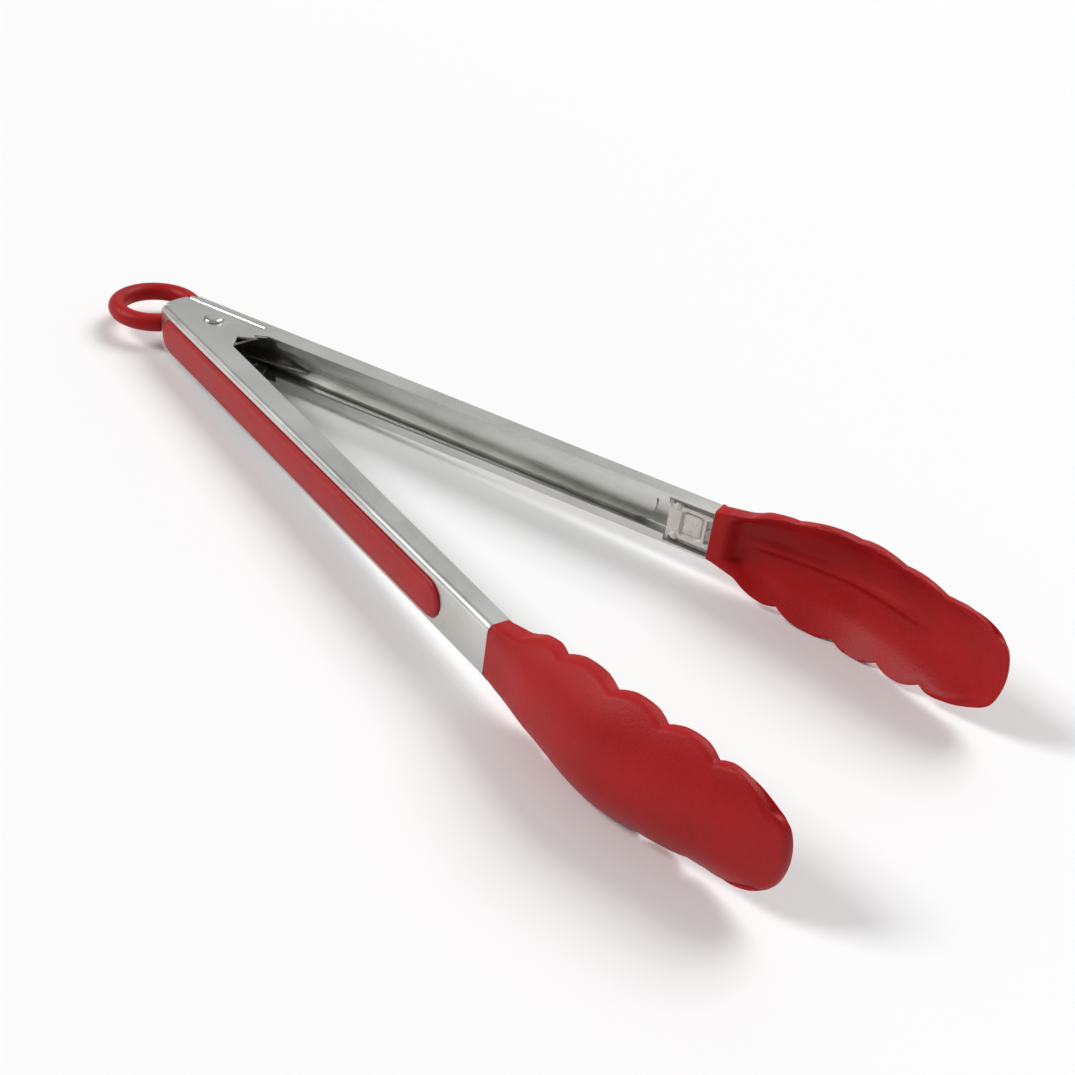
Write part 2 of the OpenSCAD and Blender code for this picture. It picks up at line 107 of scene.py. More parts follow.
def added(name):
    """The primitive that was just added, with its place moved into its mesh."""
    obj = bpy.context.active_object
    obj.name = name
    obj.data.name = name
    only(obj)
    bpy.ops.object.transform_apply(location=True, rotation=True, scale=True)
    return obj


def edit(obj, mode):
    """Enters edit mode with nothing selected, in vertex, edge or face selection."""
    only(obj)
    bpy.ops.object.mode_set(mode="EDIT")
    bpy.ops.mesh.select_mode(type=mode)
    bpy.ops.mesh.select_all(action="DESELECT")


def leave():
    bpy.ops.object.mode_set(mode="OBJECT")


def pick_faces(obj, test):
    """Selects the faces whose middle passes the test."""
    bpy.ops.object.mode_set(mode="OBJECT")
    for face in obj.data.polygons:
        face.select = test(face.center)
    bpy.ops.object.mode_set(mode="EDIT")


def modify(obj, kind, **settings):
    """Adds one modifier, sets it and applies it."""
    only(obj)
    modifier = obj.modifiers.new(kind.title(), kind)
    for key, value in settings.items():
        setattr(modifier, key, value)
    bpy.ops.object.modifier_apply(modifier=modifier.name)


def outward(obj):
    """Merges doubles and points every face outwards."""
    edit(obj, "VERT")
    bpy.ops.mesh.select_all(action="SELECT")
    bpy.ops.mesh.remove_doubles(threshold=MERGE_GAP)
    bpy.ops.mesh.normals_make_consistent(inside=False)
    leave()


def smooth_by_angle(obj, degrees):
    only(obj)
    bpy.ops.object.shade_smooth_by_angle(angle=math.radians(degrees))


def smooth_step(t):
    t = max(0.0, min(1.0, t))
    return t * t * (3 - 2 * t)


def mix(a, b, t):
    return a + (b - a) * t


def report(obj):
    triangles = sum(len(p.vertices) - 2 for p in obj.data.polygons)
    print(f"{obj.name}: {triangles} triangles")


# %% [markdown]
# ## Finishes
# A procedural finish is a small graph. Every one here reads Object coordinates, which are
# metres on the part, so the grain has its real size and stays with the piece when it moves.
# The shader's own sockets hold what is the same all over, and only colour, roughness and
# the bump vary.

# %% Building blocks of a material
class Finish:
    """A material with a Principled shader, and short ways to add nodes to it."""

    def __init__(self, name, colour, roughness, metallic=0.0):
        self.material = bpy.data.materials.new(name)
        self.material.use_nodes = True
        self.material.diffuse_color = (*colour, 1)
        self.tree = self.material.node_tree
        self.shader = self.tree.nodes["Principled BSDF"]
        self.set("Base Color", (*colour, 1))
        self.set("Roughness", roughness)
        self.set("Metallic", metallic)

    def set(self, socket, value):
        self.shader.inputs[socket].default_value = value

    def node(self, kind, **settings):
        made = self.tree.nodes.new(kind)
        for key, value in settings.items():
            setattr(made, key, value)
        return made

    def link(self, source, target):
        self.tree.links.new(source, target)

    def place(self, scale=(1, 1, 1), turn=0.0, at=(0, 0, 0)):
        """Object coordinates, moved, turned about Z and stretched."""
        coordinates = self.node("ShaderNodeTexCoord")
        mapping = self.node("ShaderNodeMapping", vector_type="TEXTURE")
        mapping.inputs["Location"].default_value = at
        mapping.inputs["Rotation"].default_value = (0, 0, turn)
        stretch = self.node("ShaderNodeMapping")
        stretch.inputs["Scale"].default_value = scale
        self.link(coordinates.outputs["Object"], mapping.inputs["Vector"])
        self.link(mapping.outputs["Vector"], stretch.inputs["Vector"])
        return stretch.outputs["Vector"]

    def noise(self, vector, scale, detail=2.0, rough=0.5):
        made = self.node("ShaderNodeTexNoise")
        made.inputs["Scale"].default_value = scale
        made.inputs["Detail"].default_value = detail
        made.inputs["Roughness"].default_value = rough
        self.link(vector, made.inputs["Vector"])
        return made.outputs["Fac"]

    def remap(self, value, low, high, to_low, to_high):
        made = self.node("ShaderNodeMapRange")
        sockets = ("From Min", "From Max", "To Min", "To Max")
        for socket, number in zip(sockets, (low, high, to_low, to_high)):
            made.inputs[socket].default_value = number
        self.link(value, made.inputs["Value"])
        return made.outputs["Result"]

    def maths(self, operation, a, b):
        made = self.node("ShaderNodeMath", operation=operation)
        for socket, value in zip(made.inputs, (a, b)):
            if isinstance(value, (int, float)):
                socket.default_value = value
            else:
                self.link(value, socket)
        return made.outputs["Value"]

    def colours(self, value, first, second):
        """Colour that runs from the first to the second as the value goes from 0 to 1."""
        ramp = self.node("ShaderNodeValToRGB")
        ramp.color_ramp.elements[0].color = (*first, 1)
        ramp.color_ramp.elements[1].color = (*second, 1)
        self.link(value, ramp.inputs["Fac"])
        self.link(ramp.outputs["Color"], self.shader.inputs["Base Color"])

    def vary(self, socket, value):
        self.link(value, self.shader.inputs[socket])

    def bump(self, height, distance, strength=1.0):
        made = self.node("ShaderNodeBump")
        made.inputs["Distance"].default_value = distance
        made.inputs["Strength"].default_value = strength
        self.link(height, made.inputs["Height"])
        self.link(made.outputs["Normal"], self.shader.inputs["Normal"])


# %% [markdown]
# The arms are stainless strip, brushed along its length before it was bent. Brushing is fine
# scratches that run the whole way, so the noise is stretched about a hundred times along
# the arm. The outer and inner arm lean opposite ways, so each has its own turn.

# %% Brushed stainless steel
STEEL = (0.66, 0.66, 0.63)
STEEL_DULL = (0.60, 0.60, 0.575)
STEEL_BRIGHT = (0.71, 0.71, 0.68)
SCRATCH_STRETCH = 110
SCRATCH_SCALE = 90
STEEL_CLOUD_SCALE = 45


def brushed_steel(name, turn, roughness=0.3, scratch=0.004):
    steel = Finish(name, STEEL, roughness, metallic=1.0)
    lines = steel.place(scale=(1, SCRATCH_STRETCH, SCRATCH_STRETCH), turn=turn, at=PIVOT)
    fine = steel.noise(lines, SCRATCH_SCALE, detail=4)
    clouds = steel.noise(steel.place(turn=turn, at=PIVOT), STEEL_CLOUD_SCALE, detail=3)
    steel.colours(steel.remap(clouds, 0.3, 0.7, 0, 1), STEEL_DULL, STEEL_BRIGHT)
    streaks = steel.remap(fine, 0.3, 0.7, roughness - 0.05, roughness + 0.07)
    patches = steel.remap(clouds, 0.3, 0.7, -0.03, 0.04)
    steel.vary("Roughness", steel.maths("ADD", streaks, patches))
    steel.bump(fine, scratch * MM)
    return steel.material


arm_steel = {
    "outer": brushed_steel("outer_arm_steel", -HALF_OPEN),
    "inner": brushed_steel("inner_arm_steel", HALF_OPEN),
}
yoke_steel = brushed_steel("yoke_steel", 0.0, roughness=0.38)

# %% [markdown]
# The rivet head is set by a polished punch, so it is brighter than the arms, with faint
# marks all over. Spring wire is drawn through a die and darkened by its heat treatment.

# %% Rivet and spring wire
def polished_steel(name, colour, roughness, size, depth):
    steel = Finish(name, colour, roughness, metallic=1.0)
    marks = steel.noise(steel.place(), size, detail=5, rough=0.6)
    steel.vary("Roughness", steel.remap(marks, 0.3, 0.7, roughness - 0.06, roughness + 0.08))
    steel.colours(steel.remap(marks, 0.25, 0.75, 0, 1), [c * 0.9 for c in colour], colour)
    steel.bump(marks, depth * MM)
    return steel.material


RIVET_COLOUR = (0.66, 0.66, 0.64)
SPRING_COLOUR = (0.42, 0.41, 0.39)

rivet_steel = polished_steel("rivet_steel", RIVET_COLOUR, roughness=0.22, size=900, depth=0.01)
spring_steel = polished_steel("spring_steel", SPRING_COLOUR, roughness=0.3, size=1400, depth=0.008)

# %% [markdown]
# Silicone is moulded against a spark eroded steel mould, which leaves a fine satin grain.
# It is slightly translucent, so a little light scatters under the surface and softens
# its shadows. The red is deep, with faint cloudiness. Each piece has its own shine: the
# grips are the glossiest and the ring the dullest.

# %% Red silicone
RED = (0.37, 0.0045, 0.006)
RED_DARK = (0.33, 0.0035, 0.005)
RED_LIGHT = (0.41, 0.0055, 0.007)
RED_SCATTER = (1.0, 0.12, 0.1)
SATIN_SCALE = 1500
RED_CLOUD_SCALE = 60


def red_silicone(name, roughness, grain, shine):
    rubber = Finish(name, RED, roughness)
    rubber.set("Subsurface Weight", 0.04)
    rubber.set("Subsurface Radius", RED_SCATTER)
    rubber.set("Subsurface Scale", 1.5 * MM)
    rubber.set("Specular IOR Level", shine)
    place = rubber.place()
    satin = rubber.noise(place, SATIN_SCALE, detail=3, rough=0.6)
    clouds = rubber.noise(place, RED_CLOUD_SCALE, detail=4)
    rubber.colours(rubber.remap(clouds, 0.3, 0.7, 0, 1), RED_DARK, RED_LIGHT)
    rubber.vary("Roughness", rubber.remap(clouds, 0.3, 0.7, roughness - 0.04, roughness + 0.05))
    rubber.bump(satin, grain * MM)
    return rubber.material


grip_silicone = red_silicone("grip_silicone", roughness=0.42, grain=0.08, shine=0.34)
head_silicone = red_silicone("head_silicone", roughness=0.46, grain=0.1, shine=0.24)
ring_silicone = red_silicone("ring_silicone", roughness=0.46, grain=0.05, shine=0.2)

# %% [markdown]
# The head inserts are clear natural nylon: milky, with the steel behind them showing
# through as a grey. The washers and the bush are white nylon.

# %% Nylon
INSERT_COLOUR = (0.84, 0.82, 0.77)
WASHER_COLOUR = (0.82, 0.82, 0.80)
NYLON_IOR = 1.53
FLOW_SCALE = 220


def natural_nylon(name, colour, clear, roughness):
    nylon = Finish(name, colour, roughness)
    nylon.set("IOR", NYLON_IOR)
    nylon.set("Transmission Weight", clear)
    nylon.set("Subsurface Weight", 0.2)
    nylon.set("Subsurface Scale", 2 * MM)
    flow = nylon.noise(nylon.place(), FLOW_SCALE, detail=4)
    nylon.colours(nylon.remap(flow, 0.3, 0.7, 0, 1), [c * 0.88 for c in colour], colour)
    nylon.vary("Roughness", nylon.remap(flow, 0.3, 0.7, roughness - 0.08, roughness + 0.1))
    nylon.bump(flow, 0.05 * MM)
    return nylon.material


insert_nylon = natural_nylon("insert_nylon", INSERT_COLOUR, clear=0.25, roughness=0.25)
washer_nylon = natural_nylon("washer_nylon", WASHER_COLOUR, clear=0.0, roughness=0.32)
print("finishes", len(bpy.data.materials))


def finish_piece(obj, material):
    obj.data.materials.clear()
    obj.data.materials.append(material)
    report(obj)


# %% [markdown]
# ## Steel pieces
# The CAD arms have the right shape, but every edge is perfectly sharp, and a real sheared
# edge is broken by tumbling. A copy of the CAD mesh is merged, its flat triangles are
# dissolved into whole faces, and a small bevel rounds each sharp edge. A mesh edge that
# turns less than the angle limit is part of a bend and stays as it is.
#
# Shading is blended from face to face, which would bend the light on a large flat face,
# so the edges of every large flat face are marked sharp first.

# %% Broken edges on copies of the CAD pieces
LARGE_FLAT = 40 * MM * MM
FLAT_LIMIT = 0.5
SHARP_LIMIT = 40
SMOOTH_LIMIT = 32
ARM_EDGE = 0.14 * MM
YOKE_EDGE = 0.15 * MM
WASHER_EDGE = 0.12 * MM


def fence_flats(obj):
    """Marks the edges of every large flat face as sharp."""
    mesh = obj.data
    for polygon in mesh.polygons:
        if polygon.area > LARGE_FLAT:
            for corner in polygon.loop_indices:
                mesh.edges[mesh.loops[corner].edge_index].use_edge_sharp = True


def edge_broken_copy(node, body, width):
    """A copy of a CAD piece with its sharp edges rounded, which takes the piece's place."""
    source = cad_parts[node]
    obj = bpy.data.objects.new(node + "_finished", source.data.copy())
    bpy.context.scene.collection.objects.link(obj)
    edit(obj, "VERT")
    bpy.ops.mesh.select_all(action="SELECT")
    bpy.ops.mesh.remove_doubles(threshold=MERGE_GAP)
    bpy.ops.mesh.dissolve_limited(angle_limit=math.radians(FLAT_LIMIT))
    leave()
    modify(obj, "BEVEL", width=width, segments=2, limit_method="ANGLE",
           angle_limit=math.radians(SHARP_LIMIT), use_clamp_overlap=True)
    fence_flats(obj)
    modify(obj, "TRIANGULATE")
    smooth_by_angle(obj, SMOOTH_LIMIT)
    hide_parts(node)
    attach(obj, body)
    return obj


for which in SIDES:
    arm = edge_broken_copy(which + "_arm", which + "_side", ARM_EDGE)
    finish_piece(arm, arm_steel[which])

yoke = edge_broken_copy("lock_yoke", "lock", YOKE_EDGE)
finish_piece(yoke, yoke_steel)

for node in ("upper_washer", "lower_washer", "spring_bush"):
    turned = edge_broken_copy(node, "hinge", WASHER_EDGE)
    finish_piece(turned, washer_nylon)

# %% [markdown]
# ## Rivet
# A rivet is a pin with a head on each side. Its head is a shallow dome with a small
# flat rim where it meets the ear. A cylinder gives the pin, and each end is widened and
# then raised in shrinking rings, so that the dome is smooth instead of faceted.

# %% The rivet
RIVET_R = 2.2 * MM
DOME_R = 3.6 * MM
DOME_H = 1.2 * MM
DOME_RINGS = 7
DOME_RIM = 0.16
DOME_FULLNESS = 0.8
RIVET_EDGE = 0.1 * MM


def rivet():
    seat = rivet_high.z - DOME_H
    bpy.ops.object.select_all(action="DESELECT")
    bpy.ops.mesh.primitive_cylinder_add(vertices=64, radius=RIVET_R, depth=2 * seat,
                                        location=PIVOT)
    obj = added("pivot_rivet_finished")
    for end in (-1, 1):
        edit(obj, "FACE")
        pick_faces(obj, lambda middle: middle.z * end > seat * 0.99)
        bpy.ops.mesh.extrude_region_move()
        bpy.ops.transform.resize(value=(DOME_R / RIVET_R, DOME_R / RIVET_R, 1))
        reached, height = 1.0, 0.0
        for ring in range(DOME_RINGS):
            bpy.ops.mesh.extrude_region_move()
            angle = math.pi / 2 * (ring + 1) / (DOME_RINGS + 0.25)
            across = math.cos(angle) ** DOME_FULLNESS if ring else 1.0
            up = DOME_H * mix(DOME_RIM, 1, math.sin(angle) if ring else 0)
            bpy.ops.transform.translate(value=(0, 0, end * (up - height)))
            bpy.ops.transform.resize(value=(across / reached, across / reached, 1))
            reached, height = across, up
        leave()
    outward(obj)
    modify(obj, "BEVEL", width=RIVET_EDGE, segments=2, limit_method="ANGLE",
           angle_limit=math.radians(50))
    smooth_by_angle(obj, 40)
    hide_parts("pivot_rivet")
    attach(obj, "hinge")
    finish_piece(obj, rivet_steel)


rivet()

# %% [markdown]
# ## Torsion spring
# The coil sits on its bush and the two legs run forward to press on the webs. When the
# arms close, the legs follow them while the coil stays. So the spring is three pieces:
# a coil attached to the hinge and two legs, each a straight bar cut across into short
# lengths. The wire is a small circle screwed round the rivet, and a leg is a straight bar.

# %% Spring sizes
WIRE_R = 0.75 * MM
COIL_R = 4.4 * MM
COIL_TURNS = 4
COIL_PITCH = 1.58 * MM
LEG_REACH = 34 * MM
LEG_GAP = 0.15 * MM
LEG_V = WEB_OUT - SHEET - SEAT_DEPTH - WIRE_R - LEG_GAP
LEG_END_ROUND = 0.35 * MM
LEG_CUTS = 12
WIRE_SIDES = 16
STEPS_A_TURN = 36

leg_end = Vector((LEG_REACH * math.cos(HALF_OPEN) - LEG_V * math.sin(HALF_OPEN),
                  LEG_REACH * math.sin(HALF_OPEN) + LEG_V * math.cos(HALF_OPEN), 0))
LEAVE = math.atan2(leg_end.y, leg_end.x) + math.acos(COIL_R / leg_end.length)
COIL_SWEEP = 2 * math.pi * COIL_TURNS + 2 * LEAVE
COIL_HEIGHT = COIL_PITCH * COIL_SWEEP / (2 * math.pi)


def coil():
    """A circle of wire, screwed down from the outer leg to the inner one."""
    steps = STEPS_A_TURN * COIL_TURNS
    start = Vector((COIL_R * math.cos(-LEAVE), COIL_R * math.sin(-LEAVE), COIL_HEIGHT / 2))
    bpy.ops.object.select_all(action="DESELECT")
    bpy.ops.mesh.primitive_circle_add(vertices=WIRE_SIDES, radius=WIRE_R, fill_type="NGON",
                                      location=PIVOT + start, rotation=(math.pi / 2, 0, -LEAVE))
    obj = added("torsion_spring_coil")
    edit(obj, "FACE")
    bpy.ops.mesh.select_all(action="SELECT")
    turn = Matrix.Translation(PIVOT) @ Matrix.Rotation(-COIL_SWEEP / steps, 4, "Z")
    turn = Matrix.Translation((0, 0, -COIL_HEIGHT / steps)) @ turn @ Matrix.Translation(-PIVOT)
    for step in range(steps):
        bpy.ops.mesh.extrude_region_move()
        bpy.ops.object.mode_set(mode="OBJECT")
        for vertex in obj.data.vertices:
            if vertex.select:
                vertex.co = turn @ vertex.co
        bpy.ops.object.mode_set(mode="EDIT")
    leave()
    outward(obj)
    smooth_by_angle(obj, 60)
    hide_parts("torsion_spring")
    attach(obj, "hinge")
    finish_piece(obj, spring_steel)


def leg(which, side):
    """A bar from the coil to the web, rounded where it presses on the steel."""
    height = -side * COIL_HEIGHT / 2
    start = PIVOT + Vector((COIL_R * math.cos(LEAVE), side * COIL_R * math.sin(LEAVE), height))
    end = PIVOT + Vector((leg_end.x, side * leg_end.y, height))
    along = (end - start).normalized()
    bpy.ops.object.select_all(action="DESELECT")
    bpy.ops.mesh.primitive_cylinder_add(vertices=WIRE_SIDES, radius=WIRE_R,
                                        depth=(end - start).length,
                                        location=(start + end) / 2,
                                        rotation=along.to_track_quat("Z", "Y").to_euler())
    obj = added(f"torsion_spring_{which}_leg")
    edit(obj, "FACE")
    pick_faces(obj, lambda middle: (middle - end).length < 0.3 * MM)
    bpy.ops.mesh.bevel(offset=LEG_END_ROUND, segments=3)
    bpy.ops.mesh.select_all(action="SELECT")
    leave()
    for cut in range(1, LEG_CUTS):
        edit(obj, "VERT")
        bpy.ops.mesh.select_all(action="SELECT")
        bpy.ops.mesh.bisect(plane_co=start + (end - start) * cut / LEG_CUTS, plane_no=along)
        leave()
    smooth_by_angle(obj, 50)
    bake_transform(obj)
    finish_piece(obj, spring_steel)


coil()
for which, side in SIDES.items():
    leg(which, side)

# %% [markdown]
# ## Grip pads
# Each grip is a silicone strip with round ends, set in a pressed seat and standing a little
# proud. Its face is crowned, so a long highlight runs down it, and a hair of dark gap
# shows round its edge. A circle is split and pulled out into the strip's outline, then
# extruded, and inset in steps that climb less and less: first the rounded edge, then the
# crown. It is cut across at the end, so that no face is as long as the strip.

# %% The grip pads
PAD_HALF = 6.2 * MM
PAD_GAP = 0.3 * MM
PAD_REAR = -14.6 * MM
PAD_FRONT = 170 * MM
PAD_FLOOR = WEB_OUT - SEAT_DEPTH
PAD_TOP = WEB_OUT + 1.7 * MM
PAD_SHOULDER = 0.1 * MM
PAD_ROUND = 2.2 * MM
PAD_ROUND_STEPS = 9
PAD_ROUND_CLIMB = 0.72
PAD_CROWN_STEPS = 4
PAD_RIDGE = 0.35 * MM
PAD_CUTS = 24


def grip_pad(which, side):
    bpy.ops.object.select_all(action="DESELECT")
    bpy.ops.mesh.primitive_circle_add(vertices=64, radius=PAD_HALF - PAD_GAP, fill_type="NGON",
                                      rotation=(-math.pi / 2, 0, 0), location=(0, PAD_FLOOR, 0))
    obj = added(which + "_grip_pad_finished")
    for vertex in obj.data.vertices:
        end = PAD_FRONT - PAD_HALF if vertex.co.x > 0.001 * MM else PAD_REAR + PAD_HALF
        vertex.co.x += end
    edit(obj, "FACE")
    bpy.ops.mesh.select_all(action="SELECT")
    shoulder = WEB_OUT + PAD_SHOULDER
    bpy.ops.mesh.extrude_region_move(TRANSFORM_OT_translate={"value": (0, shoulder - PAD_FLOOR, 0)})
    inward, height = 0.0, 0.0
    rise = PAD_TOP - shoulder
    for step in range(1, PAD_ROUND_STEPS + 1):
        angle = math.pi / 2 * step / PAD_ROUND_STEPS
        reach = PAD_ROUND * (1 - math.cos(angle))
        climb = rise * PAD_ROUND_CLIMB * math.sin(angle)
        bpy.ops.mesh.inset(thickness=reach - inward, depth=0)
        bpy.ops.transform.translate(value=(0, climb - height, 0))
        inward, height = reach, climb
    crown = PAD_HALF - PAD_GAP - PAD_ROUND - PAD_RIDGE
    for step in range(1, PAD_CROWN_STEPS + 1):
        share = step / PAD_CROWN_STEPS
        reach = PAD_ROUND + crown * share
        climb = rise * mix(PAD_ROUND_CLIMB, 1, 1 - (1 - share) ** 2)
        bpy.ops.mesh.inset(thickness=reach - inward, depth=0)
        bpy.ops.transform.translate(value=(0, climb - height, 0))
        inward, height = reach, climb
    leave()
    for cut in range(1, PAD_CUTS):
        edit(obj, "VERT")
        bpy.ops.mesh.select_all(action="SELECT")
        station = mix(PAD_REAR + PAD_HALF, PAD_FRONT - PAD_HALF, cut / PAD_CUTS)
        bpy.ops.mesh.bisect(plane_co=(station, 0, 0), plane_no=(1, 0, 0))
        leave()
    outward(obj)
    smooth_by_angle(obj, 50)
    put_on_arm(obj, side)
    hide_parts(which + "_grip_pad")
    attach(obj, which + "_side")
    finish_piece(obj, grip_silicone)


for which, side in SIDES.items():
    grip_pad(which, side)

# %% [markdown]
# ## Scalloped heads
# A head is a long shallow spoon. Its rim runs in five waves a side to a round tip lobe, its
# middle bellies outwards, and it curls inwards to the tip. It fills out to a square
# collar where it meets the metal. Such a shape is easiest to state as a rule: how wide, how
# deep and how thick at each distance along the head. So a flat grid is added, and every
# vertex is moved to where the rule puts it. The grid is then extruded, and its
# second layer is moved by the same rule to become the inner face.

# %% The rule for the head's shape
HEAD_LENGTH = 95.5
# distance along the head, half height at the notches
OUTLINE = ((0, 8.6), (12, 11.2), (25, 14.7), (44, 17), (59, 16.5), (73, 15), (89, 11.2))
# distance along the head, inward offset of the middle and of the rim, depth of the rim
BEND = ((0, 0, 0.9, 5.9), (12, -1.1, 2.2, 4.9), (25, -3.0, 3.7, 3.9), (44, -3.18, 4.4, 3.9),
        (59, 0.8, 8.1, 3.2), (73, 6.6, 12.3, 2.7), (89, 13.6, 15.4, 2.4), (95.5, 17.5, 17.5, 2.4))
NOTCHES = (8, 25, 44, 59, 73, 89)
TIP_START = NOTCHES[-1]
WAVE = 1.74
LAST_WAVE = 2.3
WAVE_FULLNESS = 0.8
MIDDLE_WALL = 2.4
COLLAR = 4
# where the square outline starts to turn into the round tip, and how much fuller than
# an ellipse the tip is
TIP_BLEND_START = 45
TIP_FLARE = 0.085


def curve(table, x, column):
    """Value at x on a smooth curve through one column of a table."""
    last = len(table) - 1
    i = max(k for k in range(last) if k == 0 or x >= table[k][0])

    def slope(k):
        a, b = table[max(k - 1, 0)], table[min(k + 1, last)]
        return (b[column] - a[column]) / (b[0] - a[0])

    width = table[i + 1][0] - table[i][0]
    t = (x - table[i][0]) / width
    return ((2 * t ** 3 - 3 * t * t + 1) * table[i][column]
            + (t ** 3 - 2 * t * t + t) * width * slope(i)
            + (3 * t * t - 2 * t ** 3) * table[i + 1][column]
            + (t ** 3 - t * t) * width * slope(i + 1))


def wave(x):
    """Height of the rim's waves, which meet in sharp notches. The first rises gently."""
    for a, b in zip(NOTCHES, NOTCHES[1:]):
        if a <= x < b:
            t = (x - a) / (b - a)
            gentle = smooth_step(2 * t) if a == NOTCHES[0] else 1.0
            height = LAST_WAVE if b == TIP_START else WAVE
            return height * gentle * math.sin(math.pi * t) ** WAVE_FULLNESS
    return 0.0


def plan_point(s, q):
    """Place in the head's outline of a grid point, s along the side and q across, -1 to 1."""
    tip = smooth_step((s - TIP_BLEND_START) / (TIP_START - TIP_BLEND_START))
    x = s + tip * (HEAD_LENGTH - TIP_START) * math.cos(math.pi / 2 * q)
    flare = math.copysign(TIP_FLARE * math.sin(math.pi * abs(q)) ** 2, q)
    spread = mix(q, math.sin(math.pi / 2 * q) + flare, tip)
    return x, spread * (curve(OUTLINE, s, 1) + wave(s))


def outline_half(x):
    """Half height of the head without its waves."""
    if x <= TIP_START:
        return curve(OUTLINE, x, 1)
    share = (x - TIP_START) / (HEAD_LENGTH - TIP_START)
    return OUTLINE[-1][1] * math.sqrt(max(1e-4, 1 - share * share))


def share_out(x, z):
    """How far out towards the rim a point is: 0 in the middle, 1 on a smooth line that
    the waves stray from, so that the face itself has no waves."""
    plain = curve(OUTLINE, min(x, TIP_START), 1) + 0.4 * WAVE * smooth_step((x - 8) / 12)
    if x > TIP_START:
        plain = min(plain, max(outline_half(x), 0.5))
    return min(1.04, abs(z) / plain)


def outer_face(x, z):
    """How far in from the web's outside the outer face is. It is squarest at the collar."""
    middle, rim = curve(BEND, x, 1), curve(BEND, x, 2)
    power = mix(6, 2.2, smooth_step(x / 25))
    return middle + (rim - middle) * share_out(x, z) ** power


RIB_START, RIB_END = 7, 76
RIB_FADE_IN, RIB_FADE_OUT = 14, 18
RIB_HALF, RIB_HIGH = 2.8, 1.3


def rib(x, z):
    """The soft rib down the middle of the inner face, which fades at both ends."""
    ends = smooth_step((x - RIB_START) / RIB_FADE_IN) * smooth_step((RIB_END - x) / RIB_FADE_OUT)
    return RIB_HIGH * ends * (1 - smooth_step(abs(z) / RIB_HALF))


def wall(x, z):
    """Thickness: the whole collar at the base, then thin with the rib added."""
    rim_share = smooth_step((share_out(x, z) - 0.6) / 0.4)
    thin = mix(MIDDLE_WALL, curve(BEND, x, 3), rim_share)
    collar = FLANGE_END / MM - outer_face(0, z)
    return mix(collar, thin, smooth_step((x - COLLAR) / mix(4.5, 14, rim_share))) + rib(x, z)


for x in (0, 25, 59, 95):
    print(f"at {x}: half height {outline_half(x):.1f}, middle wall {wall(x, 0):.2f}")

# %% [markdown]
# The rim's outer edge is well rounded and its inner edge crisper. Both follow the waves, so
# the rounding is worked out from each vertex's distance to the outline: inside the
# radius, the face curves away like a quarter circle. For that, the grid's outermost
# rows and columns are crowded close to the outline.

# %% Rounding of the rim
HEAD_ROWS = 110
HEAD_COLUMNS = 22
ROUND_STEPS = 5
RIM_OUTER = 1.1
RIM_INNER = 0.4
BEAD = 0.22
BEAD_START, BEAD_FADE_IN = 40, 30
BEAD_WIDTH, BEAD_FADE_OUT = 1.5, 0.9
# share of the half width, and distance before the tip, that the crowded rows take up
CROWDED_ACROSS = RIM_OUTER * 1.1 / 16
CROWDED_ALONG = RIM_OUTER * 1.2
ROW_GAP = 0.2

side_line = [plan_point(TIP_START * i / 600, 1) for i in range(601)]
tip_line = [plan_point(TIP_START, math.cos(math.pi * i / 120)) for i in range(121)]
OUTLINE_POINTS = [Vector((x, z, 0)) for x, z in side_line + tip_line]
OUTLINE_POINTS += [Vector((x, -z, 0)) for x, z in reversed(side_line)]
outline_tree = KDTree(len(OUTLINE_POINTS))
for index, point in enumerate(OUTLINE_POINTS):
    outline_tree.insert(point, index)
outline_tree.balance()


def to_rim(x, z):
    """Distance in the plan from a point to the head's outline."""
    here = Vector((x, z, 0))
    nearest, index, best = outline_tree.find(here)
    for other in (index - 1, index + 1):
        if 0 <= other < len(OUTLINE_POINTS):
            chord = OUTLINE_POINTS[other] - nearest
            if chord.length > 1e-6:
                t = max(0.0, min(1.0, (here - nearest).dot(chord) / chord.length_squared))
                best = min(best, (nearest + chord * t - here).length)
    return best


def rounding(distance, radius):
    """How far a face drops at this distance from its edge."""
    inside = max(0.0, radius - distance)
    return radius - math.sqrt(max(0.0, radius * radius - inside * inside))


def bead(x, distance):
    """Height of the low bead that follows the inner rim from the middle to the tip."""
    along = smooth_step((x - BEAD_START) / BEAD_FADE_IN)
    return BEAD * along * (1 - smooth_step((distance - BEAD_WIDTH) / BEAD_FADE_OUT))


# %% [markdown]
# ## Model one head and copy it to both arms

# %% The heads
def rows_along():
    """Side stations from base to tip: even, with one on every notch, and crowded at the tip."""
    stops = [0.0, *NOTCHES]
    rows = []
    for a, b in zip(stops, stops[1:]):
        count = round(HEAD_ROWS * (b - a) / TIP_START)
        rows += [mix(a, b, i / count) for i in range(count)]
    crowded = [TIP_START - CROWDED_ALONG * (1 - math.cos(math.pi / 2 * i / ROUND_STEPS))
               for i in range(ROUND_STEPS, 0, -1)]
    return [s for s in rows if s < crowded[0] - ROW_GAP] + crowded + [TIP_START]


def columns_across():
    """Shares across, from -1 to 1, with the last few crowded towards the rim."""
    edge = [1 - math.cos(math.pi / 2 * i / ROUND_STEPS) for i in range(ROUND_STEPS + 1)]
    plain = [(1 - CROWDED_ACROSS) * i / HEAD_COLUMNS for i in range(HEAD_COLUMNS)]
    half = plain + [1 - CROWDED_ACROSS * (1 - share) for share in edge]
    half = sorted({round(min(1.0, h), 6) for h in half})
    return [-h for h in reversed(half) if h > 0] + half


